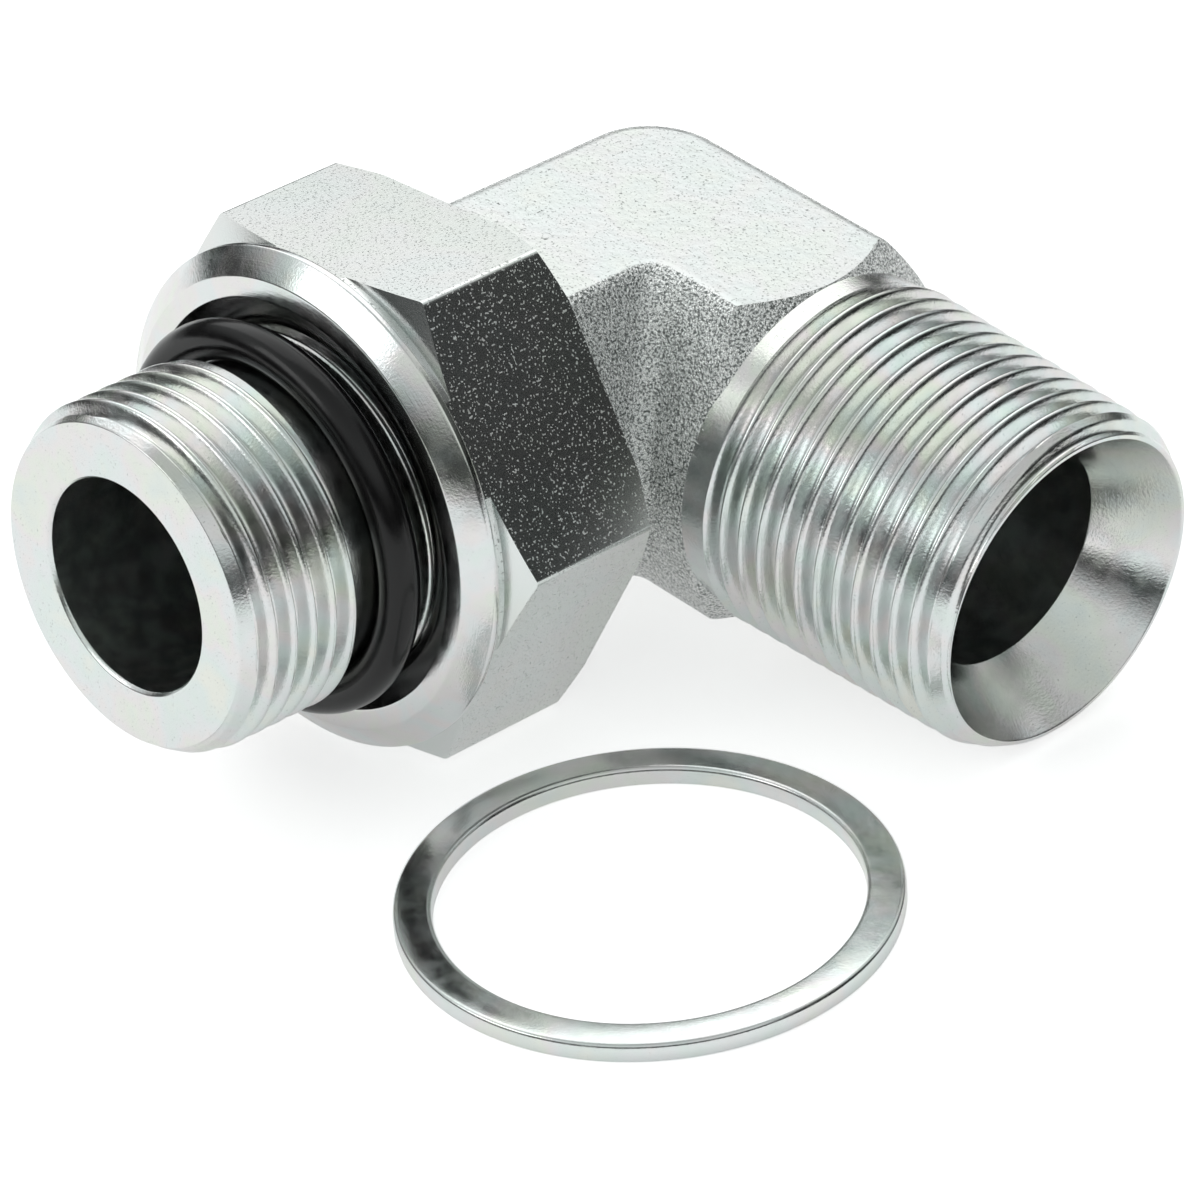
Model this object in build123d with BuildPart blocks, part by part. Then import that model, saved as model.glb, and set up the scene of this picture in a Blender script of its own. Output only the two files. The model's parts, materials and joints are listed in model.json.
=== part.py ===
from build123d import *
import os
from math import cos, radians, sin, sqrt, tan

os.makedirs("parts", exist_ok=True)

# Forged elbow: flat above and below, with flanks that bow out to the parting line
forging_height = 27.0
forging_width = 26.8
top_flat_width = 15.0
flank_radius = 24.0
forged_edge_radius = 1.5
crotch_radius = 2.0
heel_radius = 11.3
arm_end = 18.0

# Turned shoulder where each arm meets its stud
shoulder_angle = 40.0

# Adjustable stud: relief, lock nut thread, seal neck and port thread, all one parallel thread
stud_end = 50.6
stud_radius = 13.22
stud_chamfer_depth = 1.02
stud_chamfer_angle = 30.0
stud_neck_step = 0.2
relief_length = 1.6
relief_depth = 1.32
seal_neck_start = 35.0
seal_neck_length = 4.9
seal_neck_depth = 1.37
groove_chamfer = 0.3
stud_bore_radius = 8.0
bore_mouth_chamfer = 0.25

# Taper pipe stud, one in sixteen on the diameter, with a 60 degree seat in its mouth
taper = 1 / 16
taper_end = 42.7
taper_end_radius = 13.12
taper_chamfer_depth = 1.02
taper_chamfer_angle = 30.0
taper_neck_length = 1.7
taper_neck_step = 0.41875
seat_half_angle = 30.0
seat_lip = 0.28
taper_bore_radius = 8.5

# Both bores are drilled a little past the crossing of their axes
drill_overrun = 2.0
drill_half_angle = 59.0

# Hexagon lock nut, turned at both ends
nut_wall = 5.02
nut_rear = 19.05
nut_length = 13.4
nut_turn = 7.0
nut_corner_radius = 0.5
nut_collar_length = 0.65
nut_collar_step = 0.35
nut_front_chamfer_angle = 21.0
nut_rear_face_step = 1.1
nut_rear_chamfer_angle = 30.0
nut_thread_clearance = 0.06
nut_countersink = 0.9

# Backup washer in front of the nut, with a hollow round the seal, a flat lip and a bevel
washer_nut_gap = 0.05
washer_clearance = 0.08
washer_floor_thickness = 0.8
washer_floor_width = 0.6
washer_hollow_depth = 1.2
washer_seal_clearance = 0.75
washer_lip_width = 1.52
washer_bevel_width = 1.88
washer_rim_length = 0.6
washer_edge_break = 0.15

# Seal ring on the neck
seal_thickness = 3.0
seal_clearance = 0.05
seal_gap = 0.37

# Loose retaining ring, lying flat in front of the fitting
ring_outer_radius = 17.85
ring_inner_radius = 15.1
ring_thickness = 1.55
ring_edge_radius = 0.3
ring_x = 34.2
ring_y = -34.0

# The fitting lies with its adjustable stud pointing up by this slope
lie_slope = 0.07

half_height = forging_height / 2
half_width = forging_width / 2
half_flat = top_flat_width / 2
heel_centre = half_width - heel_radius
stud_chamfer_length = stud_chamfer_depth / tan(radians(stud_chamfer_angle))
seal_neck_radius = stud_radius - seal_neck_depth
seal_middle_radius = seal_neck_radius + seal_clearance + seal_thickness / 2
taper_slope = taper / 2
taper_chamfer_length = taper_chamfer_depth / (tan(radians(taper_chamfer_angle)) - taper_slope)
crest_place = taper_end - taper_chamfer_length
crest_radius = taper_end_radius + taper_slope * taper_chamfer_length
nut_bore_radius = stud_radius + nut_thread_clearance
nut_flat_reach = nut_bore_radius + nut_wall
nut_corner_reach = nut_flat_reach / cos(radians(30))
nut_rear_face_radius = nut_flat_reach + nut_rear_face_step
nut_chamfer_length = (nut_corner_reach - nut_rear_face_radius) * tan(radians(nut_rear_chamfer_angle))

# The lowest corner of the nut and the first crest of the taper stud both touch the ground
low_corner_x = -nut_corner_reach * cos(radians(60 + nut_turn))
low_corner_drop = nut_corner_reach * sin(radians(60 + nut_turn))
crest_drop = crest_radius * sqrt(1 + lie_slope**2)
roll_slope = (low_corner_drop - lie_slope * (nut_rear + nut_chamfer_length) - crest_drop) / (
    crest_place - low_corner_x
)
up = Vector(-roll_slope, -lie_slope, 1)
crossing_height = (roll_slope * crest_place + crest_drop) / up.length

# The fitting's own frame as it lies, with a plane that looks out along each stud
ground = Plane(origin=(0, 0, 0), x_dir=(1, 0, 0), z_dir=up)
own = Plane(ground.location.inverse())
crossing = Vector(0, 0, crossing_height)
stud_arm = Plane(origin=crossing, x_dir=own.x_dir, z_dir=own.y_dir * -1)
taper_arm = Plane(origin=crossing, x_dir=own.y_dir, z_dir=own.x_dir)


def forged_section(plane):
    """The forging's section across an arm, with a parting line at mid height."""
    with BuildSketch(plane) as section:
        with BuildLine():
            Line((-half_flat, half_height), (half_flat, half_height))
            RadiusArc((half_flat, half_height), (half_width, 0), flank_radius)
            RadiusArc((half_width, 0), (half_flat, -half_height), flank_radius)
            Line((half_flat, -half_height), (-half_flat, -half_height))
            RadiusArc((-half_flat, -half_height), (-half_width, 0), flank_radius)
            RadiusArc((-half_width, 0), (-half_flat, half_height), flank_radius)
        make_face()
    return section.sketch


def side_of(arm):
    """The plane through an arm's axis, measured along the arm and out from its axis."""
    return Plane(origin=arm.origin, x_dir=arm.z_dir, z_dir=arm.z_dir.cross(arm.y_dir))


def turn(arm, points, mode=Mode.ADD):
    """Turns an outline of (along the arm, radius) points about the arm's axis."""
    with BuildSketch(side_of(arm)) as outline:
        with BuildLine():
            Polyline(*points, close=True)
        make_face()
    revolve(outline.sketch, axis=Axis(arm.origin, arm.z_dir), mode=mode)


def turn_shoulder(arm, radius):
    """Turns an arm's end down to its neck, along a cone."""
    rise = forging_width - radius
    run = rise / tan(radians(shoulder_angle))
    turn(arm, [(arm_end, radius), (arm_end - run, radius + rise), (arm_end, radius + rise)], Mode.SUBTRACT)


def drill(arm, mouth, radius):
    """Cuts a stud's bore from the points of its mouth to just past the crossing."""
    point_length = radius / tan(radians(drill_half_angle))
    start = mouth[0][0]
    bottom = [(-drill_overrun, radius), (-drill_overrun - point_length, 0)]
    turn(arm, [(start, 0), *mouth, *bottom], Mode.SUBTRACT)


# Elbow body: the forged section led round the corner
with BuildPart() as elbow_body:
    with BuildLine() as centre_line:
        Polyline(
            crossing + stud_arm.z_dir * arm_end,
            crossing,
            crossing + taper_arm.z_dir * arm_end,
        )
    sweep(
        forged_section(stud_arm.offset(arm_end)),
        path=centre_line.wire(),
        transition=Transition.RIGHT,
    )

    # The sharp outer corner is cut away to the round heel, which keeps the same section
    with BuildSketch(taper_arm.offset(-heel_centre)) as beyond_heel:
        with Locations((heel_centre, 0)):
            Rectangle(forging_width, 2 * forging_height, align=(Align.MIN, Align.CENTER))
        add(forged_section(Plane.XY), mode=Mode.SUBTRACT)
    heel_middle = crossing + (own.y_dir - own.x_dir) * heel_centre
    revolve(
        beyond_heel.sketch,
        axis=Axis(heel_middle, own.z_dir),
        revolution_arc=90,
        mode=Mode.SUBTRACT,
    )

    # The flanks meet in a valley at the crotch, and the flats end in soft edges
    fillet(elbow_body.edges().filter_by(GeomType.ELLIPSE), crotch_radius)
    flats = elbow_body.faces().filter_by(Axis(crossing, own.z_dir))
    stud_side_end = elbow_body.faces().filter_by(Axis(crossing, stud_arm.z_dir))
    taper_side_end = elbow_body.faces().filter_by(Axis(crossing, taper_arm.z_dir))
    fillet(flats.edges() - stud_side_end.edges() - taper_side_end.edges(), forged_edge_radius)

    # The shoulders are turned down to the necks
    taper_neck_end = arm_end + taper_neck_length
    thread_start_radius = taper_end_radius + taper_slope * (taper_end - taper_neck_end)
    taper_neck_radius = thread_start_radius - taper_neck_step
    turn_shoulder(stud_arm, stud_radius + stud_neck_step)
    turn_shoulder(taper_arm, taper_neck_radius)

    # Adjustable stud
    relief_radius = stud_radius - relief_depth
    relief_end = arm_end + relief_length
    seal_neck_end = seal_neck_start + seal_neck_length
    turn(
        stud_arm,
        [
            (0, 0),
            (0, relief_radius),
            (relief_end, relief_radius),
            (relief_end + relief_depth, stud_radius),
            (seal_neck_start - groove_chamfer, stud_radius),
            (seal_neck_start, stud_radius - groove_chamfer),
            (seal_neck_start, seal_neck_radius),
            (seal_neck_end, seal_neck_radius),
            (seal_neck_end, stud_radius - groove_chamfer),
            (seal_neck_end + groove_chamfer, stud_radius),
            (stud_end - stud_chamfer_length, stud_radius),
            (stud_end, stud_radius - stud_chamfer_depth),
            (stud_end, 0),
        ],
    )

    # Taper stud
    taper_face_radius = taper_end_radius - taper_chamfer_depth
    turn(
        taper_arm,
        [
            (0, 0),
            (0, taper_neck_radius),
            (taper_neck_end, taper_neck_radius),
            (taper_neck_end + taper_neck_step, thread_start_radius - taper_slope * taper_neck_step),
            (crest_place, crest_radius),
            (taper_end, taper_face_radius),
            (taper_end, 0),
        ],
    )

    # One passage from mouth to mouth
    stud_mouth = [
        (stud_end, stud_bore_radius + bore_mouth_chamfer),
        (stud_end - bore_mouth_chamfer, stud_bore_radius),
    ]
    drill(stud_arm, stud_mouth, stud_bore_radius)
    seat_mouth_radius = taper_face_radius - seat_lip
    seat_depth = (seat_mouth_radius - taper_bore_radius) / tan(radians(seat_half_angle))
    seat_mouth = [(taper_end, seat_mouth_radius), (taper_end - seat_depth, taper_bore_radius)]
    drill(taper_arm, seat_mouth, taper_bore_radius)

# Lock nut: hexagon bar, turned at the ends and bored to run on the stud's thread
with BuildPart() as lock_nut:
    with BuildSketch(stud_arm.offset(nut_rear)) as hexagon:
        RegularPolygon(nut_flat_reach, 6, major_radius=False, rotation=nut_turn)
        fillet(hexagon.vertices(), nut_corner_radius)
    extrude(amount=nut_length)
    nut_front = nut_rear + nut_length
    collar_start = nut_front - nut_collar_length
    nut_collar_radius = nut_flat_reach + nut_collar_step
    front_chamfer_drop = (nut_corner_reach - nut_collar_radius) * tan(radians(nut_front_chamfer_angle))
    turn(
        stud_arm,
        [
            (nut_rear, nut_bore_radius + nut_countersink),
            (nut_rear, nut_rear_face_radius),
            (nut_rear + nut_chamfer_length, nut_corner_reach),
            (collar_start - front_chamfer_drop, nut_corner_reach),
            (collar_start, nut_collar_radius),
            (nut_front, nut_collar_radius),
            (nut_front, nut_bore_radius + nut_countersink),
            (nut_front - nut_countersink, nut_bore_radius),
            (nut_rear + nut_countersink, nut_bore_radius),
        ],
        Mode.INTERSECT,
    )

# Backup washer: bevelled outside, hollowed inside
with BuildPart() as backup_washer:
    washer_rear = nut_front + washer_nut_gap
    washer_floor = washer_rear + washer_floor_thickness
    washer_front = washer_floor + washer_hollow_depth
    washer_hole_radius = stud_radius + washer_clearance
    washer_hollow_radius = seal_middle_radius + seal_thickness / 2 + washer_seal_clearance
    washer_face_radius = washer_hollow_radius + washer_lip_width
    washer_radius = washer_face_radius + washer_bevel_width
    turn(
        stud_arm,
        [
            (washer_rear, washer_hole_radius),
            (washer_rear, washer_radius - washer_edge_break),
            (washer_rear + washer_edge_break, washer_radius),
            (washer_rear + washer_rim_length, washer_radius),
            (washer_front, washer_face_radius),
            (washer_front, washer_hollow_radius),
            (washer_floor, washer_hole_radius + washer_floor_width),
            (washer_floor, washer_hole_radius),
        ],
    )

# Seal ring of rubber, close to the rear wall of its neck
with BuildPart() as o_ring:
    with BuildSketch(side_of(stud_arm)):
        with Locations((seal_neck_start + seal_gap + seal_thickness / 2, seal_middle_radius)):
            Circle(seal_thickness / 2)
    revolve(axis=Axis(stud_arm.origin, stud_arm.z_dir))

# Retaining ring: stamped flat, with its edges tumbled round
with BuildPart() as retaining_ring:
    with BuildSketch(Plane(origin=(ring_x, ring_y, 0))):
        Circle(ring_outer_radius)
        Circle(ring_inner_radius, mode=Mode.SUBTRACT)
    extrude(amount=ring_thickness)
    fillet(retaining_ring.edges(), ring_edge_radius)

elbow_body.part.label = "elbow_body"
lock_nut.part.label = "lock_nut"
backup_washer.part.label = "backup_washer"
o_ring.part.label = "o_ring"
retaining_ring.part.label = "retaining_ring"

# The origin is on the ground, below the middle of all that lies there
pieces = [elbow_body.part, lock_nut.part, backup_washer.part, o_ring.part, retaining_ring.part]
middle = Compound(children=[piece.moved(Location()) for piece in pieces]).bounding_box().center()
print("crossing of the axes at", -middle.X, -middle.Y, crossing_height)
for piece in pieces:
    centred = piece.moved(Location((-middle.X, -middle.Y, 0)))
    centred.label = piece.label
    export_step(centred, f"parts/{piece.label}.step")
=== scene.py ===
import json
import math
import bpy
import bmesh
import numpy as np
from mathutils import Matrix, Vector


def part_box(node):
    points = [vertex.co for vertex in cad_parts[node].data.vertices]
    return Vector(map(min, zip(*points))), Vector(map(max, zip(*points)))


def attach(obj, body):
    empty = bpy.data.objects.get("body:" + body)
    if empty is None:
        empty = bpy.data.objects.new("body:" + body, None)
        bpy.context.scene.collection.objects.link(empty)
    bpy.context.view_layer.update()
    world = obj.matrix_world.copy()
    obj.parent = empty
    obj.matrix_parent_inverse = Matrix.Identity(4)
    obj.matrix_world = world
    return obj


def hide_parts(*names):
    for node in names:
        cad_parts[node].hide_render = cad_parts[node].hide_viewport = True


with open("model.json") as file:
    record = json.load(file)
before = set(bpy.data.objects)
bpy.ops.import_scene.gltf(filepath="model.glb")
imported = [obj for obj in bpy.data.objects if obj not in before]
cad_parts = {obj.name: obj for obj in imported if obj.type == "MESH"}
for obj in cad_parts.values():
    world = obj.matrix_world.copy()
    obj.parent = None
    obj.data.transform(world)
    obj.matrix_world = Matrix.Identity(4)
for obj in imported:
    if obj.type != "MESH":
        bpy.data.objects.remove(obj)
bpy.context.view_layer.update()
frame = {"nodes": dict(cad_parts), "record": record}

# Elbow body, the forging: zinc-plated steel, hammered between two dies, shot-blasted, then
# turned, drilled and threaded at both ends. Its arms follow the two stud axes, which cross
# at the corner of the drilled passage.
mm = 0.001
mounts = {mount["name"]: mount for mount in frame["record"]["mounts"]}
stud_axis = Vector(mounts["port_stud"]["axis"]).normalized()
taper_axis = Vector(mounts["taper_bore"]["axis"]).normalized()
up_axis = stud_axis.cross(taper_axis).normalized()
stud_point = Vector(mounts["port_stud"]["pos_m"])
taper_point = Vector(mounts["taper_bore"]["pos_m"])
crossing = stud_point - stud_axis * (stud_point - taper_point).dot(stud_axis)

arm_end = 18.0
beyond_studs = 14.5
weld_distance = 0.002
cut_tolerance = 0.0005
flat_side_cosine = 0.9999


def arm_matrix(axis):
    """The frame of an arm: X out along its stud, Z up from the flats, metres."""
    side = up_axis.cross(axis)
    turned = Matrix((axis, side, up_axis)).transposed()
    return Matrix.Translation(crossing) @ turned.to_4x4()


stud_frame = arm_matrix(stud_axis)
taper_frame = arm_matrix(taper_axis)


def finish_mesh(name, mesh, sharp_angle=32.0, flat_sides=()):
    """Puts a finished mesh into the scene, smooth between its sharp edges and flat sides."""
    piece = bpy.data.objects.new(name, mesh)
    bpy.context.scene.collection.objects.link(piece)
    work = bmesh.new()
    work.from_mesh(mesh)
    limit = math.radians(sharp_angle)
    work.normal_update()
    on_flat = {}
    for face in work.faces:
        face.smooth = True
        on_flat[face] = any(face.normal.dot(side) > flat_side_cosine for side in flat_sides)
    for edge in work.edges:
        sides = {on_flat[face] for face in edge.link_faces}
        paired = len(edge.link_faces) == 2 and len(sides) == 1
        edge.smooth = paired and edge.calc_face_angle(0.0) < limit
    work.to_mesh(mesh)
    work.free()
    return piece


def merged_copy(node):
    """A copy of a CAD node's mesh with its loose triangles joined, in a bmesh."""
    work = bmesh.new()
    work.from_mesh(frame["nodes"][node].data)
    work.transform(frame["nodes"][node].matrix_world)
    bmesh.ops.remove_doubles(work, verts=work.verts, dist=weld_distance * mm)
    bmesh.ops.dissolve_degenerate(work, edges=work.edges, dist=weld_distance * mm)
    return work


def arm_place(point, arm):
    """Distance along an arm and radius from its axis, in millimetres."""
    local = arm.inverted() @ point
    return local.x / mm, math.hypot(local.y, local.z) / mm


# the outer faces of both studs are cut off the copy, for the threaded ones to take their place
forging_work = merged_copy("elbow_body")
for arm, axis in ((stud_frame, stud_axis), (taper_frame, taper_axis)):
    bmesh.ops.bisect_plane(
        forging_work,
        geom=[*forging_work.verts, *forging_work.edges, *forging_work.faces],
        dist=cut_tolerance * mm,
        plane_co=arm @ Vector((arm_end * mm, 0, 0)),
        plane_no=axis,
    )
turned_faces = []
for face in forging_work.faces:
    middle = face.calc_center_median()
    for arm in (stud_frame, taper_frame):
        along, radius = arm_place(middle, arm)
        if along > arm_end - weld_distance and radius < beyond_studs:
            turned_faces.append(face)
            break
bmesh.ops.delete(forging_work, geom=turned_faces, context="FACES")
forging_mesh = bpy.data.meshes.new("forging")
forging_work.to_mesh(forging_mesh)
forging_work.free()
forging = finish_mesh("forging", forging_mesh, flat_sides=(up_axis, -up_axis))
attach(forging, "fitting")


class Shader:
    """A node material under construction, with short calls for its usual nodes."""

    def __init__(self, name):
        self.material = bpy.data.materials.new(name)
        self.material.use_nodes = True
        self.tree = self.material.node_tree
        self.surface = self.tree.nodes["Principled BSDF"]

    def node(self, kind, **settings):
        """A new node, with its settings."""
        made = self.tree.nodes.new(kind)
        for key, value in settings.items():
            setattr(made, key, value)
        return made

    def feed(self, socket, value):
        """Joins a socket to another, or sets its value."""
        if hasattr(value, "is_output"):
            self.tree.links.new(value, socket)
        else:
            socket.default_value = value

    def place(self, arm=None):
        """Object coordinates in an arm's frame, or in the part's own."""
        coordinates = self.node("ShaderNodeTexCoord").outputs["Object"]
        if arm is None:
            return coordinates
        mapping = self.node("ShaderNodeMapping", vector_type="TEXTURE")
        mapping.inputs["Location"].default_value = arm.translation
        mapping.inputs["Rotation"].default_value = arm.to_euler()
        self.feed(mapping.inputs["Vector"], coordinates)
        return mapping.outputs["Vector"]

    def scaled(self, vector, scale):
        """A vector stretched along its axes."""
        mapping = self.node("ShaderNodeMapping")
        mapping.inputs["Scale"].default_value = scale
        self.feed(mapping.inputs["Vector"], vector)
        return mapping.outputs["Vector"]

    def noise(self, vector, per_mm, detail=2.0, roughness=0.5):
        """Cloudy noise with so many cells to a millimetre, from 0 to 1."""
        made = self.node("ShaderNodeTexNoise")
        self.feed(made.inputs["Vector"], vector)
        made.inputs["Scale"].default_value = per_mm / mm
        made.inputs["Detail"].default_value = detail
        made.inputs["Roughness"].default_value = roughness
        return made.outputs["Fac"]

    def math(self, operation, first, second=0.0):
        """A sum, product or other operation on two values."""
        made = self.node("ShaderNodeMath", operation=operation)
        self.feed(made.inputs[0], first)
        self.feed(made.inputs[1], second)
        return made.outputs["Value"]

    def ramp(self, value, low, high, low_to=0.0, high_to=1.0):
        """Takes a value from low..high to low_to..high_to, smoothly and no further."""
        made = self.node("ShaderNodeMapRange", interpolation_type="SMOOTHSTEP")
        self.feed(made.inputs["Value"], value)
        limits = {"From Min": low, "From Max": high, "To Min": low_to, "To Max": high_to}
        for socket, number in limits.items():
            self.feed(made.inputs[socket], number)
        return made.outputs["Result"]

    def mix(self, share, first, second):
        """Mixes two colours."""
        made = self.node("ShaderNodeMix", data_type="RGBA")
        self.feed(made.inputs["Factor"], share)
        self.feed(made.inputs["A"], first)
        self.feed(made.inputs["B"], second)
        return made.outputs["Result"]

    def colours(self, value, stops):
        """A colour ramp through (place, colour) stops."""
        made = self.node("ShaderNodeValToRGB")
        elements = made.color_ramp.elements
        while len(elements) < len(stops):
            elements.new(0.5)
        for element, (place, colour) in zip(elements, stops):
            element.position = place
            element.color = (*colour, 1.0)
        self.feed(made.inputs["Fac"], value)
        return made.outputs["Color"]

    def bump(self, height, depth_mm, strength=1.0, below=None):
        """A bump of so many millimetres from dark to light."""
        made = self.node("ShaderNodeBump")
        made.inputs["Strength"].default_value = strength
        made.inputs["Distance"].default_value = depth_mm * mm
        self.feed(made.inputs["Height"], height)
        if below is not None:
            self.feed(made.inputs["Normal"], below)
        return made.outputs["Normal"]

    def facing(self, direction):
        """How far the surface faces a fixed direction, from -1 to 1."""
        normal = self.node("ShaderNodeNewGeometry").outputs["Normal"]
        made = self.node("ShaderNodeVectorMath", operation="DOT_PRODUCT")
        self.feed(made.inputs[0], normal)
        made.inputs[1].default_value = direction
        return made.outputs["Value"]

    def coat(self, metallic, **inputs):
        """Feeds the surface and hands over the material."""
        self.surface.inputs["Metallic"].default_value = metallic
        for name, value in inputs.items():
            self.feed(self.surface.inputs[name.replace("_", " ").title()], value)
        return self.material


# the film of zinc shows faint interference colours that drift over the surface
zinc_tints = [
    (0.30, (0.64, 0.71, 0.68)),
    (0.40, (0.73, 0.76, 0.66)),
    (0.47, (0.78, 0.71, 0.72)),
    (0.53, (0.72, 0.74, 0.76)),
    (0.60, (0.66, 0.75, 0.72)),
    (0.70, (0.77, 0.77, 0.68)),
]


def zinc_colour(shader, place, share, per_mm=0.12):
    """Zinc plate with drifting tints, so strong as the share says."""
    tints = shader.colours(shader.noise(place, per_mm, 3.0, 0.6), zinc_tints)
    return shader.mix(share, (0.73, 0.755, 0.74, 1.0), tints)


def forged_steel():
    """Shot-blasted flanks whose grain is painted as near-black and near-white specks, painted glints
    and painted dark, and flats pressed smooth with few pits.
    """
    shader = Shader("forged_zinc_steel")
    place = shader.place()
    flat = shader.ramp(shader.math("ABSOLUTE", shader.facing(up_axis)), 0.93, 0.99)
    rough = shader.math("SUBTRACT", 1.0, flat)
    grain = shader.noise(place, 4.2, 3.0, 0.65)
    dents = shader.noise(place, 1.3, 2.0, 0.5)
    pits = shader.ramp(shader.noise(place, 1.6, 2.0, 0.6), 0.70, 0.76)
    specks = shader.ramp(shader.noise(place, 5.0, 1.0, 0.5), 0.61, 0.70)
    # the flanks' colour is painted light: near-black and near-white specks stand in for the glints
    # and dark of the blasted grain
    painted_glint_specks = shader.colours(
        shader.noise(place, 5.5, 3.0, 0.6),
        [(0.40, (0.10, 0.115, 0.11)), (0.47, (0.6, 0.62, 0.61)), (0.53, (0.98, 0.99, 0.98))],
    )
    pressed = shader.mix(0.16, zinc_colour(shader, place, 0.22), (0.30, 0.31, 0.31, 1.0))
    pressed = shader.mix(shader.math("MULTIPLY", specks, 0.6), pressed, (0.14, 0.15, 0.14, 1.0))
    pressed = shader.mix(shader.math("MULTIPLY", pits, 0.6), pressed, (0.2, 0.21, 0.21, 1.0))
    colour = shader.mix(shader.math("MULTIPLY", rough, 0.85), pressed, painted_glint_specks)
    roughness = shader.ramp(flat, 0.0, 1.0, 0.17, 0.34)
    grain_height = shader.math("MULTIPLY", grain, shader.ramp(rough, 0.0, 1.0, 0.12, 1.0))
    normal = shader.bump(grain_height, 0.20)
    normal = shader.bump(dents, 0.05, 0.8, normal)
    normal = shader.bump(shader.math("MULTIPLY", pits, -1.0), 0.03, 0.8, normal)
    return shader.coat(1.0, base_color=colour, roughness=roughness, normal=normal)


forging.data.materials.clear()
forging.data.materials.append(forged_steel())

# Elbow body, the turned ends: both studs are turned on the same forging, then threaded with
# right-hand pipe threads, 14 to the inch. The adjustable one is parallel, with a neck for
# the seal; the other has a one in sixteen taper and a 60 degree seat in its mouth.
pitch = 25.4 / 14
thread_depth = 1.16
neck_radius = 13.42
columns = 288
rows_per_pitch = 18
span_slack = 0.01
bore_reach = 2.2
shoulder_overlap = 0.4
bore_overlap = 1.0
corner_ease = 0.08
thread_rounding = 0.06


def densified(points, low, high):
    """Adds rows to an outline between two places on the axis, so that a thread can form."""
    step = pitch / rows_per_pitch
    result = [points[0]]
    for (x0, r0), (x1, r1) in zip(points, points[1:]):
        inside = low - span_slack <= min(x0, x1) and max(x0, x1) <= high + span_slack
        count = max(1, math.ceil(math.hypot(x1 - x0, r1 - r0) / step)) if inside else 1
        for index in range(1, count + 1):
            share = index / count
            result.append((x0 + (x1 - x0) * share, r0 + (r1 - r0) * share))
    return result


def eased(points, ease=0.12, loop=False):
    """Rounds each corner of an outline with three short steps."""
    result = [] if loop else [points[0]]
    count = len(points)
    for index in range(count) if loop else range(1, count - 1):
        before = np.array(points[index - 1])
        corner = np.array(points[index])
        after = np.array(points[(index + 1) % count])
        to_before = before - corner
        to_after = after - corner
        reach = min(ease, 0.4 * np.linalg.norm(to_before), 0.4 * np.linalg.norm(to_after))
        start = corner + to_before / np.linalg.norm(to_before) * reach
        end = corner + to_after / np.linalg.norm(to_after) * reach
        for share in (0.0, 0.33, 0.67, 1.0):
            point = (1 - share) ** 2 * start + 2 * share * (1 - share) * corner + share**2 * end
            result.append(tuple(point))
    if not loop:
        result.append(points[-1])
    return result


def lathe(name, outline, arm, loop=False, turns=columns):
    """Turns an outline of (along, radius) millimetres about an arm's X axis, into a mesh."""
    points = np.array(outline)
    angles = np.arange(turns) * 2 * math.pi / turns
    rows = len(points)
    grid = np.zeros((rows, turns, 3))
    grid[:, :, 0] = points[:, :1]
    grid[:, :, 1] = points[:, 1:] * np.cos(angles)
    grid[:, :, 2] = points[:, 1:] * np.sin(angles)
    vertices = grid.reshape(-1, 3) * mm
    faces = []
    for row in range(rows if loop else rows - 1):
        below = ((row + 1) % rows) * turns
        for column in range(turns):
            beside = (column + 1) % turns
            faces.append((row * turns + column, row * turns + beside, below + beside, below + column))
    mesh = bpy.data.meshes.new(name)
    mesh.from_pydata(vertices.tolist(), [], faces)
    if arm is not None:
        mesh.transform(arm)
    return mesh


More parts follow.
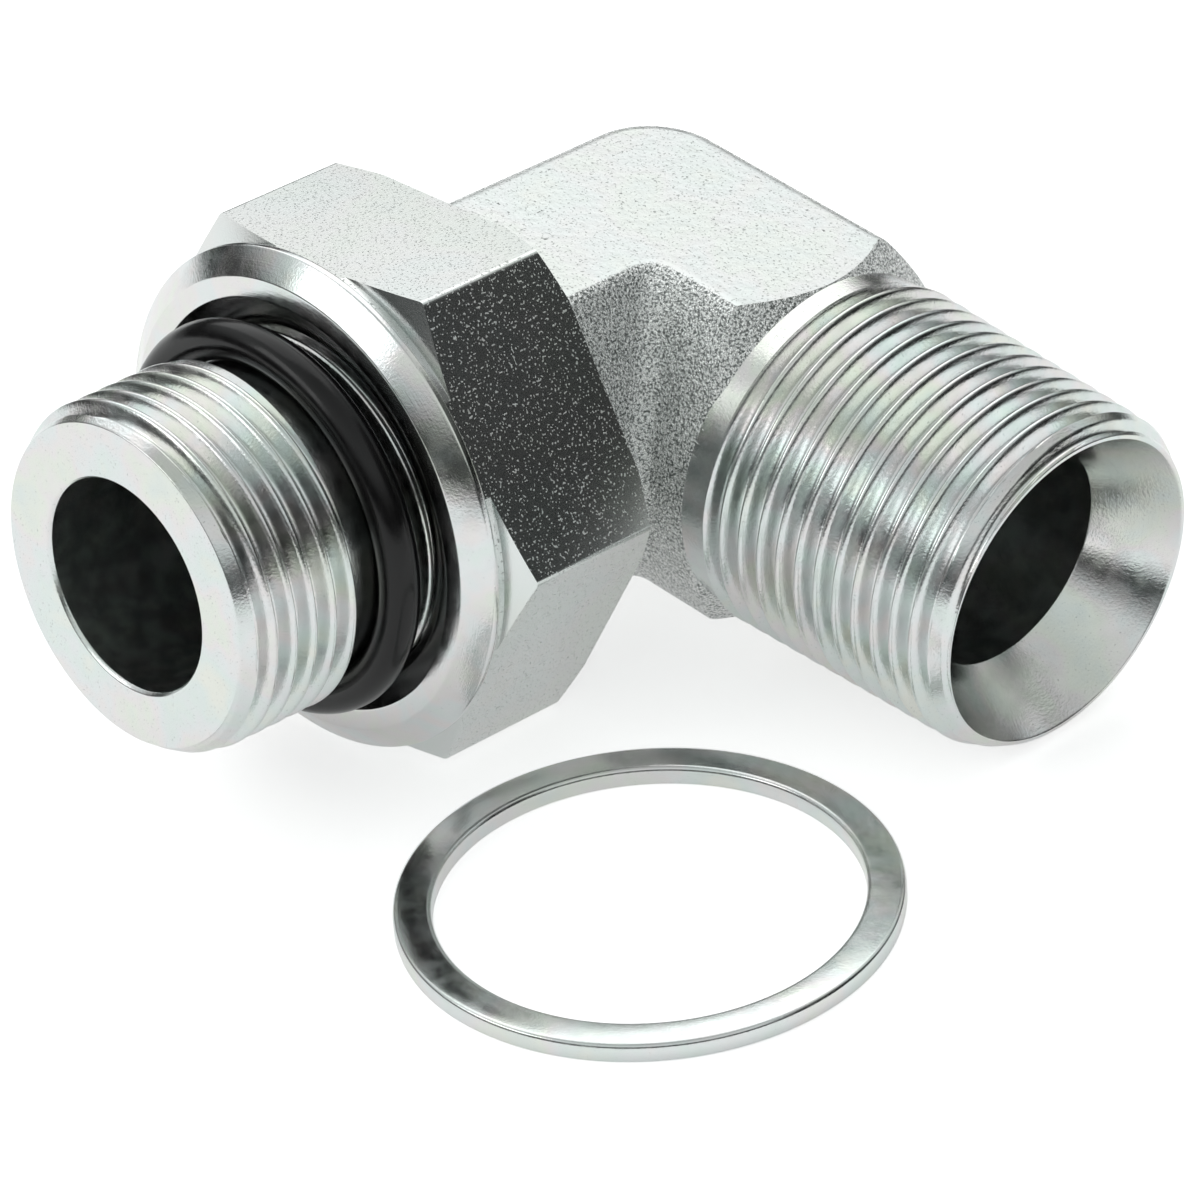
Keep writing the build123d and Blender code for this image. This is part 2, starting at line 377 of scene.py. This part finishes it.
def thread_tree():
    """Geometry nodes that cut a right-hand thread into a turned blank lying along X."""
    tree = bpy.data.node_groups.new("cut_thread", "GeometryNodeTree")
    sockets = tree.interface
    sockets.new_socket("Blank", in_out="INPUT", socket_type="NodeSocketGeometry")
    for name in ("Crest Radius", "Taper Slope", "Pitch", "Depth", "Start", "Run-out"):
        sockets.new_socket(name, in_out="INPUT", socket_type="NodeSocketFloat")
    sockets.new_socket("Finish", in_out="INPUT", socket_type="NodeSocketMaterial")
    sockets.new_socket("Threaded", in_out="OUTPUT", socket_type="NodeSocketGeometry")
    given = tree.nodes.new("NodeGroupInput").outputs

    def join(value, socket):
        if hasattr(value, "is_output"):
            tree.links.new(value, socket)
        else:
            socket.default_value = value

    def reckon(operation, *values):
        node = tree.nodes.new("ShaderNodeMath")
        node.operation = operation
        for socket, value in zip(node.inputs, values):
            join(value, socket)
        return node.outputs[0]

    position = tree.nodes.new("GeometryNodeInputPosition").outputs[0]
    parts = tree.nodes.new("ShaderNodeSeparateXYZ")
    tree.links.new(position, parts.inputs[0])
    along, side, height = parts.outputs
    squares = reckon("ADD", reckon("MULTIPLY", side, side), reckon("MULTIPLY", height, height))
    radius = reckon("SQRT", squares)
    turn = reckon("DIVIDE", reckon("ARCTAN2", height, side), 2 * math.pi)
    phase = reckon("FRACT", reckon("SUBTRACT", reckon("DIVIDE", along, given["Pitch"]), turn))
    # a triangle wave from crest to root and back, with both rounded as on a pipe thread
    triangle = reckon("ABSOLUTE", reckon("SUBTRACT", reckon("MULTIPLY", phase, 2.0), 1.0))
    flank = tree.nodes.new("ShaderNodeMapRange")
    flank.interpolation_type = "SMOOTHSTEP"
    join(triangle, flank.inputs["Value"])
    flank.inputs["From Min"].default_value = thread_rounding
    flank.inputs["From Max"].default_value = 1.0 - thread_rounding
    beyond = reckon("SUBTRACT", along, given["Start"])
    started = tree.nodes.new("ShaderNodeClamp")
    join(reckon("DIVIDE", beyond, given["Run-out"]), started.inputs["Value"])
    full_cut = reckon("MULTIPLY", flank.outputs["Result"], given["Depth"])
    cut = reckon("MULTIPLY", full_cut, started.outputs[0])
    crest = reckon("SUBTRACT", given["Crest Radius"], reckon("MULTIPLY", along, given["Taper Slope"]))
    threaded = reckon("MINIMUM", radius, reckon("SUBTRACT", crest, cut))
    # what lies before the thread's start, or so deep that it is the bore, stays as turned
    before = reckon("LESS_THAN", beyond, 0.0)
    bore_limit = reckon("SUBTRACT", crest, reckon("MULTIPLY", given["Depth"], bore_reach))
    bored = reckon("LESS_THAN", radius, bore_limit)
    kept = reckon("MAXIMUM", before, bored)
    share = reckon("DIVIDE", threaded, radius)
    share = reckon("ADD", reckon("MULTIPLY", kept, reckon("SUBTRACT", 1.0, share)), share)
    moved = tree.nodes.new("ShaderNodeCombineXYZ")
    tree.links.new(along, moved.inputs[0])
    join(reckon("MULTIPLY", side, share), moved.inputs[1])
    join(reckon("MULTIPLY", height, share), moved.inputs[2])
    place = tree.nodes.new("GeometryNodeSetPosition")
    tree.links.new(given["Blank"], place.inputs["Geometry"])
    tree.links.new(moved.outputs[0], place.inputs["Position"])
    real = tree.nodes.new("GeometryNodeRealizeInstances")
    tree.links.new(place.outputs[0], real.inputs[0])
    coat = tree.nodes.new("GeometryNodeSetMaterial")
    tree.links.new(real.outputs[0], coat.inputs["Geometry"])
    tree.links.new(given["Finish"], coat.inputs["Material"])
    tree.links.new(coat.outputs[0], tree.nodes.new("NodeGroupOutput").inputs[0])
    return tree


def turned_steel(
    name, arm, ring_depth=0.004, roughness=0.2, sparkle=0.35, tint=0.5, painted_shade_within=0.0
):
    """Turned and plated steel: fine rings round the axis, specks, drifting tints, and, within so many
    millimetres of the axis, a recess painted near black as painted shade and a painted reflection of
    the seal."""
    shader = Shader(name)
    place = shader.place(arm)
    apart = shader.node("ShaderNodeSeparateXYZ")
    shader.feed(apart.inputs[0], place)
    side = shader.math("MULTIPLY", apart.outputs["Y"], apart.outputs["Y"])
    height = shader.math("MULTIPLY", apart.outputs["Z"], apart.outputs["Z"])
    radius = shader.math("SQRT", shader.math("ADD", side, height))
    ring_place = shader.node("ShaderNodeCombineXYZ")
    shader.feed(ring_place.inputs["X"], apart.outputs["X"])
    shader.feed(ring_place.inputs["Y"], radius)
    rings = shader.noise(ring_place.outputs[0], 9.0, 2.0, 0.7)
    scratches = shader.noise(shader.scaled(place, (1.0, 0.12, 0.12)), 7.0, 2.0, 0.6)
    grain = shader.noise(place, 5.0, 2.0, 0.6)
    specks = shader.ramp(shader.noise(place, 6.0, 1.0, 0.5), 0.68, 0.74)
    speckled = shader.math("MULTIPLY", specks, sparkle)
    colour = shader.mix(speckled, zinc_colour(shader, place, tint), (0.2, 0.21, 0.2, 1.0))
    # painted shade: within the given radius the colour goes near black, a painted shadow and
    # reflection of the seal
    painted_recess_shade = shader.ramp(radius, (painted_shade_within - 0.1) * mm, painted_shade_within * mm, 0.9, 0.0)
    colour = shader.mix(painted_recess_shade, colour, (0.012, 0.012, 0.012, 1.0))
    clouds = shader.noise(place, 0.7, 3.0)
    clouded = shader.ramp(clouds, 0.3, 0.7, roughness * 0.8, roughness * 1.3)
    normal = shader.bump(rings, ring_depth)
    normal = shader.bump(scratches, ring_depth, 0.7, normal)
    normal = shader.bump(grain, 0.05 * sparkle, 0.8, normal)
    return shader.coat(1.0, base_color=colour, roughness=clouded, normal=normal)


cut_thread = thread_tree()


def threaded(mesh, name, crest_radius, slope, start, run_out, finish, arm):
    """Cuts the thread into a turned blank and puts the result on its arm."""
    blank = bpy.data.objects.new(name, mesh)
    bpy.context.scene.collection.objects.link(blank)
    modifier = blank.modifiers.new("thread", "NODES")
    modifier.node_group = cut_thread
    sizes = {
        "Crest Radius": crest_radius * mm,
        "Taper Slope": slope,
        "Pitch": pitch * mm,
        "Depth": thread_depth * mm,
        "Start": start * mm,
        "Run-out": run_out * mm,
        "Finish": finish,
    }
    for item in cut_thread.interface.items_tree:
        if item.name in sizes:
            modifier[item.identifier] = sizes[item.name]
    seen = blank.evaluated_get(bpy.context.evaluated_depsgraph_get())
    result = bpy.data.meshes.new_from_object(seen)
    bpy.data.objects.remove(blank)
    result.transform(arm)
    return finish_mesh(name, result, sharp_angle=50.0)


# taper stud
taper_end = 42.7
taper_end_radius = 13.12
taper_slope = 1 / 32
taper_crest_at_corner = taper_end_radius + taper_end * taper_slope
taper_chamfer = 1.87
taper_chamfer_radius = 13.178
taper_face_radius = 12.1
taper_neck_end = 19.7
taper_thread_step = 0.42
taper_thread_radius = 13.83
taper_dense_from = taper_neck_end + 0.4
taper_bore_radius = 8.5
seat_mouth_radius = 11.82
seat_depth = 5.75
taper_outline = [
    (arm_end - shoulder_overlap, neck_radius),
    (taper_neck_end, neck_radius),
    (taper_neck_end + taper_thread_step, taper_thread_radius),
    (taper_end - taper_chamfer, taper_chamfer_radius),
    (taper_end, taper_face_radius),
    (taper_end, seat_mouth_radius),
    (taper_end - seat_depth, taper_bore_radius),
    (arm_end - bore_overlap, taper_bore_radius),
]
taper_rows = densified(eased(taper_outline, corner_ease), taper_dense_from, taper_end)
taper_stud = threaded(
    lathe("taper_stud", taper_rows, arm=None),
    "taper_stud",
    crest_radius=taper_crest_at_corner,
    slope=taper_slope,
    start=taper_neck_end,
    run_out=1.0,
    finish=turned_steel("turned_zinc_taper_stud", taper_frame),
    arm=taper_frame,
)

# adjustable stud
stud_end = 50.6
stud_radius = 13.22
stud_chamfer = 1.767
stud_face_radius = 12.2
stud_bore_radius = 8.0
bore_chamfer = 0.25
stud_dense_from = 21.0
seal_neck = (35.0, 39.9)
seal_neck_radius = 11.85
groove_chamfer = 0.3
relief_radius = 11.9
relief_length = 1.6
relief_run = 2.92
stud_outline = [
    (arm_end - shoulder_overlap, relief_radius),
    (arm_end + relief_length, relief_radius),
    (arm_end + relief_run, stud_radius),
    (seal_neck[0] - groove_chamfer, stud_radius),
    (seal_neck[0], stud_radius - groove_chamfer),
    (seal_neck[0], seal_neck_radius),
    (seal_neck[1], seal_neck_radius),
    (seal_neck[1], stud_radius - groove_chamfer),
    (seal_neck[1] + groove_chamfer, stud_radius),
    (stud_end - stud_chamfer, stud_radius),
    (stud_end, stud_face_radius),
    (stud_end, stud_bore_radius + bore_chamfer),
    (stud_end - bore_chamfer, stud_bore_radius),
    (arm_end - bore_overlap, stud_bore_radius),
]
stud_rows = densified(eased(stud_outline, corner_ease), stud_dense_from, stud_end)
adjustable_stud = threaded(
    lathe("adjustable_stud", stud_rows, arm=None),
    "adjustable_stud",
    crest_radius=stud_radius,
    slope=0.0,
    start=arm_end,
    run_out=0.5,
    finish=turned_steel("turned_zinc_adjustable_stud", stud_frame),
    arm=stud_frame,
)
for piece in (taper_stud, adjustable_stud):
    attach(piece, "fitting")
for piece in (forging, taper_stud, adjustable_stud):
    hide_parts("elbow_body")

# Lock nut: turned from hexagon bar and plated. Its flats keep the bar's drawn skin, with
# fine scratches and flecks; its ends are turned to round chamfers.
nut_angle = 7.0


def drawn_steel():
    """Drawn bar on the flats, turned steel on the chamfers and faces."""
    shader = Shader("zinc_hexagon_bar")
    place = shader.place(stud_frame)
    along = shader.math("ABSOLUTE", shader.facing(stud_axis))
    turned = shader.ramp(along, 0.15, 0.25)
    flecks = shader.ramp(shader.noise(place, 6.0, 0.0, 0.5), 0.70, 0.76)
    streaks = shader.noise(shader.scaled(place, (0.15, 1.0, 1.0)), 6.0, 2.0, 0.6)
    fine = shader.noise(place, 6.0, 2.0, 0.6)
    colour = zinc_colour(shader, place, share=0.2, per_mm=0.07)
    flat_height = shader.math("MULTIPLY", flecks, shader.math("SUBTRACT", 1.0, turned))
    plain = shader.ramp(turned, 0.0, 1.0, 0.24, 0.17)
    roughness = shader.math("ADD", plain, shader.math("MULTIPLY", flat_height, 0.4))
    normal = shader.bump(flat_height, 0.09, 1.0)
    normal = shader.bump(streaks, 0.004, 0.7, normal)
    normal = shader.bump(fine, 0.006, 0.7, normal)
    return shader.coat(1.0, base_color=colour, roughness=roughness, normal=normal)


nut_work = merged_copy("lock_nut")
nut_mesh = bpy.data.meshes.new("hexagon_lock_nut")
nut_work.to_mesh(nut_mesh)
nut_work.free()
nut_sides = [stud_axis, -stud_axis]
for step in range(6):
    side_turn = Matrix.Rotation(math.radians(nut_angle + 60 * step), 3, stud_axis)
    nut_sides.append(side_turn @ up_axis)
    nut_sides.append(side_turn.transposed() @ up_axis)
nut = finish_mesh("hexagon_lock_nut", nut_mesh, sharp_angle=16.0, flat_sides=nut_sides)
nut.data.materials.clear()
nut.data.materials.append(drawn_steel())
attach(nut, "nut")
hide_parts("lock_nut")

# Backup washer: turned from bar, bevelled outside and dished inside to hold the seal. It
# is free to slide on the thread in front of the nut.
washer_rear = 32.5
washer_floor = washer_rear + 0.8
washer_front = washer_rear + 2.0
washer_hole_radius = 13.3
washer_floor_radius = 13.9
washer_hollow_radius = 15.65
washer_face_radius = 17.17
washer_radius = 19.05
washer_edge_break = 0.15
washer_rim_length = 0.6
washer_outline = [
    (washer_rear, washer_hole_radius),
    (washer_rear, washer_radius - washer_edge_break),
    (washer_rear + washer_edge_break, washer_radius),
    (washer_rear + washer_rim_length, washer_radius),
    (washer_front, washer_face_radius),
    (washer_front, washer_hollow_radius),
    (washer_floor, washer_floor_radius),
    (washer_floor, washer_hole_radius),
]
washer_rows = eased(washer_outline, ease=0.1, loop=True)
washer_mesh = lathe("bevelled_washer", washer_rows, stud_frame, loop=True)
washer = finish_mesh("bevelled_washer", washer_mesh)
# the washer's dish is painted near black: painted shade and a painted reflection of the seal
washer_finish = turned_steel(
    "turned_zinc_washer",
    stud_frame,
    ring_depth=0.005,
    roughness=0.17,
    sparkle=0.2,
    painted_shade_within=washer_hollow_radius + 0.03,
)
washer.data.materials.append(washer_finish)
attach(washer, "washer")
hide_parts("backup_washer")

# Seal ring: moulded black rubber, held by its own stretch on the neck.
seal_place = 36.87
seal_radius = 13.4
seal_tube = 1.5
seal_steps = 40
seal_outline = [
    (
        seal_place + seal_tube * math.cos(2 * math.pi * step / seal_steps),
        seal_radius - seal_tube * math.sin(2 * math.pi * step / seal_steps),
    )
    for step in range(seal_steps)
]
seal_mesh = lathe("rubber_seal", seal_outline[::-1], stud_frame, loop=True, turns=180)
seal = finish_mesh("rubber_seal", seal_mesh)


def rubber():
    """Black rubber with a soft sheen and a few smears of grease."""
    shader = Shader("black_rubber")
    place = shader.place(stud_frame)
    smears = shader.noise(shader.scaled(place, (1.0, 0.3, 0.3)), 1.2, 3.0, 0.6)
    colour = shader.mix(smears, (0.004, 0.004, 0.004, 1.0), (0.009, 0.008, 0.009, 1.0))
    roughness = shader.ramp(smears, 0.3, 0.7, 0.14, 0.26)
    normal = shader.bump(shader.noise(place, 4.0, 2.0), 0.004)
    shader.surface.inputs["Specular IOR Level"].default_value = 0.35
    return shader.coat(0.0, base_color=colour, roughness=roughness, normal=normal)


seal.data.materials.append(rubber())
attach(seal, "fitting")
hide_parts("o_ring")

# Retaining ring: stamped from strip and tumbled, so its edges are round. It lies loose on
# the ground, and in use it goes round the seal.
ring_low, ring_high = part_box("retaining_ring")
ring_middle = (Vector(ring_low) + Vector(ring_high)) / 2
ring_place = Matrix.Translation((ring_middle.x, ring_middle.y, 0))
ring_frame = ring_place @ Matrix.Rotation(-math.pi / 2, 4, "Y")
ring_outer = 17.85
ring_inner = 15.1
ring_thickness = 1.55
ring_outline = [
    (0.0, ring_outer),
    (ring_thickness, ring_outer),
    (ring_thickness, ring_inner),
    (0.0, ring_inner),
]
ring_rows = eased(ring_outline, ease=0.4, loop=True)
ring_mesh = lathe("stamped_ring", ring_rows, ring_frame, loop=True)
ring = finish_mesh("stamped_ring", ring_mesh, sharp_angle=60.0)
ring_finish = turned_steel(
    "tumbled_zinc_ring", ring_frame, ring_depth=0.0015, sparkle=0.15, tint=0.4
)
ring.data.materials.append(ring_finish)
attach(ring, "fitting")
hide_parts("retaining_ring")

# Floor, light and camera
floor_half = 2.0
floor_corners = [
    (-floor_half, -floor_half, 0),
    (floor_half, -floor_half, 0),
    (floor_half, floor_half, 0),
    (-floor_half, floor_half, 0),
]
floor_mesh = bpy.data.meshes.new("floor")
floor_mesh.from_pydata(floor_corners, [], [(0, 1, 2, 3)])
floor = bpy.data.objects.new("floor", floor_mesh)
bpy.context.scene.collection.objects.link(floor)
floor_shader = Shader("pale_floor")
floor_shader.surface.inputs["Base Color"].default_value = (0.93, 0.93, 0.93, 1.0)
floor_shader.surface.inputs["Roughness"].default_value = 0.9
floor_shader.surface.inputs["Specular IOR Level"].default_value = 0.0
floor_shader.surface.inputs["Emission Color"].default_value = (1.0, 1.0, 1.0, 1.0)
rays = floor_shader.node("ShaderNodeLightPath").outputs
to_camera = floor_shader.math("MULTIPLY", rays["Is Camera Ray"], 0.62)
to_metal = floor_shader.math("MULTIPLY", rays["Is Glossy Ray"], 0.32)
glow = floor_shader.math("ADD", to_camera, to_metal)
floor_shader.feed(floor_shader.surface.inputs["Emission Strength"], glow)
floor_mesh.materials.append(floor_shader.material)

# the world is white to the camera, and to metal a studio in bands from the ground to overhead
world = bpy.data.worlds.new("studio")
bpy.context.scene.world = world
world.use_nodes = True
sky = world.node_tree
background = sky.nodes["Background"]
directions = sky.nodes.new("ShaderNodeTexCoord").outputs["Generated"]
apart = sky.nodes.new("ShaderNodeSeparateXYZ")
sky.links.new(directions, apart.inputs[0])
studio = sky.nodes.new("ShaderNodeValToRGB")
studio_bands = [
    (0.0, 0.60),
    (0.50, 0.50),
    (0.52, 0.06),
    (0.63, 0.05),
    (0.70, 0.50),
    (0.78, 0.80),
    (0.88, 0.72),
    (1.0, 0.50),
]
while len(studio.color_ramp.elements) < len(studio_bands):
    studio.color_ramp.elements.new(0.5)
for element, (position, level) in zip(studio.color_ramp.elements, studio_bands):
    element.position = position
    element.color = (level * 0.96, level, level * 0.99, 1.0)
lift = sky.nodes.new("ShaderNodeMath")
lift.operation = "MULTIPLY_ADD"
lift.inputs[1].default_value = 0.5
lift.inputs[2].default_value = 0.5
sky.links.new(apart.outputs["Z"], lift.inputs[0])
sky.links.new(lift.outputs[0], studio.inputs["Fac"])

# the studio is dark to the right of the fitting, which the nut's near flat mirrors
dark_side = (0.702, 0.593, 0.396)
toward_dark = sky.nodes.new("ShaderNodeVectorMath")
toward_dark.operation = "DOT_PRODUCT"
toward_dark.inputs[1].default_value = dark_side
sky.links.new(directions, toward_dark.inputs[0])
dimming = sky.nodes.new("ShaderNodeMapRange")
dimming.interpolation_type = "SMOOTHSTEP"
dimming.inputs["From Min"].default_value = 0.84
dimming.inputs["From Max"].default_value = 0.95
dimming.inputs["To Min"].default_value = 1.0
dimming.inputs["To Max"].default_value = 0.12
sky.links.new(toward_dark.outputs["Value"], dimming.inputs["Value"])
shaded = sky.nodes.new("ShaderNodeVectorMath")
shaded.operation = "SCALE"
sky.links.new(studio.outputs["Color"], shaded.inputs[0])
sky.links.new(dimming.outputs["Result"], shaded.inputs["Scale"])
path = sky.nodes.new("ShaderNodeLightPath").outputs
mix = sky.nodes.new("ShaderNodeMix")
mix.data_type = "RGBA"
mix.inputs["B"].default_value = (1.0, 1.0, 1.0, 1.0)
sky.links.new(path["Is Camera Ray"], mix.inputs["Factor"])
sky.links.new(shaded.outputs["Vector"], mix.inputs["A"])
sky.links.new(mix.outputs["Result"], background.inputs["Color"])
background.inputs["Strength"].default_value = 1.0

lamp_target = Vector((0, 0, 0.02))


def soft_box(name, place, size, power):
    """An oblong area lamp that looks at the fitting."""
    lamp = bpy.data.lights.new(name, "AREA")
    lamp.shape = "RECTANGLE"
    lamp.size = size[0]
    lamp.size_y = size[1]
    lamp.energy = power
    holder = bpy.data.objects.new(name, lamp)
    holder.location = place
    holder.rotation_euler = (lamp_target - Vector(place)).to_track_quat("-Z", "Y").to_euler()
    bpy.context.scene.collection.objects.link(holder)


soft_box("key_softbox", place=(-0.5, 0.35, 0.75), size=(1.1, 1.1), power=3.2)
soft_box("front_softbox", place=(-0.35, -0.7, 0.55), size=(0.6, 0.3), power=0.9)

view_azimuth = math.radians(48.880)
view_elevation = math.radians(32.953)
view_roll = math.radians(-4.660)
view_target = Vector((-11.044, 8.605, 1.292)) * mm
view_distance = 530.557 * mm
view_back = Vector(
    (
        math.sin(view_azimuth) * math.cos(view_elevation),
        -math.cos(view_azimuth) * math.cos(view_elevation),
        math.sin(view_elevation),
    )
)
camera_data = bpy.data.cameras.new("camera")
camera_data.sensor_width = 36.0
camera_data.lens = 216.0
camera_data.clip_start = 0.01
camera = bpy.data.objects.new("camera", camera_data)
bpy.context.scene.collection.objects.link(camera)
level_right = (-view_back).cross(Vector((0, 0, 1))).normalized()
level_up = level_right.cross(-view_back)
right = level_right * math.cos(view_roll) + level_up * math.sin(view_roll)
upward = level_up * math.cos(view_roll) - level_right * math.sin(view_roll)
turned = Matrix((right, upward, view_back)).transposed().to_4x4()
camera.matrix_world = Matrix.Translation(view_target + view_back * view_distance) @ turned
bpy.context.scene.camera = camera
bpy.context.scene.view_settings.view_transform = "Standard"
